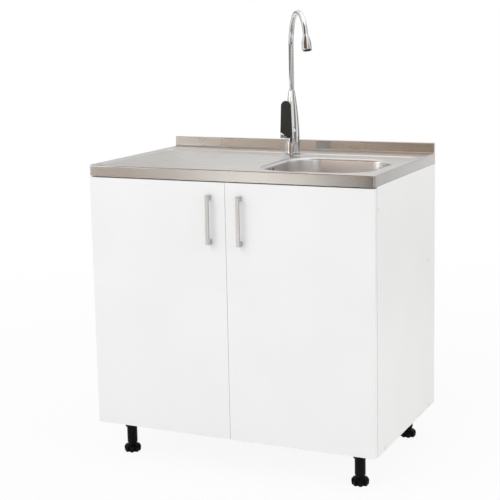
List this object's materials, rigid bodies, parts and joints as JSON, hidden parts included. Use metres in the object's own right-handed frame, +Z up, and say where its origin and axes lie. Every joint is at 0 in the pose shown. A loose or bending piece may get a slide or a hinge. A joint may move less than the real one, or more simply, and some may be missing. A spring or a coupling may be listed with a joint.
{
  "type": "kitchen sink unit",
  "caption": "Floor-standing kitchen sink base with flat white doors on concealed hinges, steel sit-on top with drainer and bowl, swan-neck mixer tap and screw feet.",
  "frame": {"origin": "on the floor, in the middle of the unit's footprint", "axes": "+X to the right of someone facing the doors, +Y to the rear, +Z up"},
  "size_m": [0.8016, 0.54, 1.2],
  "materials": {
    "white_board": "melamine-faced chipboard, satin white",
    "white_door": "melamine-faced chipboard, smooth white",
    "zinc_steel": "zinc-plated",
    "white_plastic": "moulded, satin",
    "brushed_nickel": "brushed nickel",
    "hinge_steel": "nickel-plated",
    "clear_pad": "soft translucent pad",
    "black_plastic": "moulded, satin black",
    "sink_steel": "satin stainless steel",
    "softwood": "sawn softwood",
    "black_rubber": "black rubber",
    "tap_chrome": "polished chrome",
    "dark_insert": "satin dark grey"
  },
  "bodies": {
    "cabinet": {"side_panel_left": "white_board", "side_panel_right": "white_board", "bottom_panel": "white_board", "front_rail": "white_board", "rear_rail": "white_board", "panel_screws": "zinc_steel", "screw_caps": "white_plastic", "hinge_arms_left": "hinge_steel", "hinge_arms_right": "hinge_steel", "hinge_plates_left": "hinge_steel", "hinge_plates_right": "hinge_steel", "hinge_plate_screws": "zinc_steel", "leg_sockets": "black_plastic", "leg_tubes": "black_plastic", "leg_screws": "zinc_steel", "sink_deck": "sink_steel", "sink_bowl": "sink_steel", "sink_battens": "softwood", "waste_flange": "sink_steel", "waste_screw": "sink_steel", "waste_seal": "black_rubber", "waste_body": "white_plastic", "overflow_box": "white_plastic", "overflow_tube": "white_plastic", "trap_nut": "white_plastic", "trap_body": "white_plastic", "trap_cup": "white_plastic", "outlet_pipe": "white_plastic", "tap_seal": "black_rubber", "tap_body": "tap_chrome", "tap_stud": "zinc_steel", "tap_clamp": "zinc_steel", "tap_nut": "zinc_steel", "valve": "white_plastic", "valve_ring": "tap_chrome", "spout_ring": "white_plastic"},
    "door_right_body": {"door_right": "white_door", "handle_right": "brushed_nickel", "door_screws_right": "zinc_steel", "door_bumpers_right": "clear_pad", "hinge_cups_right": "hinge_steel"},
    "hinge_links_right_body": {"hinge_links_right": "hinge_steel"},
    "door_left_body": {"door_left": "white_door", "handle_left": "brushed_nickel", "door_screws_left": "zinc_steel", "door_bumpers_left": "clear_pad", "hinge_cups_left": "hinge_steel"},
    "hinge_links_left_body": {"hinge_links_left": "hinge_steel"},
    "foot_front_left": {"leg_foot_front_left": "black_plastic"},
    "foot_front_right": {"leg_foot_front_right": "black_plastic"},
    "foot_rear_left": {"leg_foot_rear_left": "black_plastic"},
    "foot_rear_right": {"leg_foot_rear_right": "black_plastic"},
    "basket": {"strainer_basket": "sink_steel"},
    "spout_body": {"spout": "tap_chrome", "nozzle": "tap_chrome", "aerator": "dark_insert"},
    "lever_stem": {"turning_stem": "tap_chrome"},
    "lever_body": {"lever": "tap_chrome", "lever_insert": "dark_insert"}
  },
  "joints": [
    {"name": "hinge_link_right", "type": "hinge", "parent": "cabinet", "child": "hinge_links_right_body", "pos_m": [0.366, -0.24, 0.4075], "axis": [0, 0, 1], "range_deg": [-38.1, 0]},
    {"name": "door_right", "type": "hinge", "parent": "hinge_links_right_body", "child": "door_right_body", "pos_m": [0.387, -0.238, 0.4075], "axis": [0, 0, 1], "range_deg": [0, 133]},
    {"name": "hinge_link_left", "type": "hinge", "parent": "cabinet", "child": "hinge_links_left_body", "pos_m": [-0.366, -0.24, 0.4075], "axis": [0, 0, -1], "range_deg": [-38.1, 0]},
    {"name": "door_left", "type": "hinge", "parent": "hinge_links_left_body", "child": "door_left_body", "pos_m": [-0.387, -0.238, 0.4075], "axis": [0, 0, -1], "range_deg": [0, 133]},
    {"name": "level_front_left", "type": "slide", "parent": "cabinet", "child": "foot_front_left", "axis": [0, 0, -1], "range_m": [0, 0.02]},
    {"name": "level_front_right", "type": "slide", "parent": "cabinet", "child": "foot_front_right", "axis": [0, 0, -1], "range_m": [0, 0.02]},
    {"name": "level_rear_left", "type": "slide", "parent": "cabinet", "child": "foot_rear_left", "axis": [0, 0, -1], "range_m": [0, 0.02]},
    {"name": "level_rear_right", "type": "slide", "parent": "cabinet", "child": "foot_rear_right", "axis": [0, 0, -1], "range_m": [0, 0.02]},
    {"name": "basket_lift", "type": "slide", "parent": "cabinet", "child": "basket", "axis": [0, 0, 1], "range_m": [0, 0.06]},
    {"name": "spout_swivel", "type": "hinge", "parent": "cabinet", "child": "spout_body", "pos_m": [0.03, 0.122, 0.99], "axis": [0, 0, 1], "range_deg": [-126, 54]},
    {"name": "lever_turn", "type": "hinge", "parent": "cabinet", "child": "lever_stem", "pos_m": [0.03, 0.093, 0.871], "axis": [0, 1, 0], "range_deg": [-45, 45]},
    {"name": "lever_lift", "type": "hinge", "parent": "lever_stem", "child": "lever_body", "pos_m": [0.03, 0.093, 0.871], "axis": [1, 0, 0], "range_deg": [0, 20]}
  ],
  "couplings": [
    {"joint": "hinge_link_right", "follows": "door_right", "ratio": -0.28571},
    {"joint": "hinge_link_left", "follows": "door_left", "ratio": -0.28571}
  ]
}
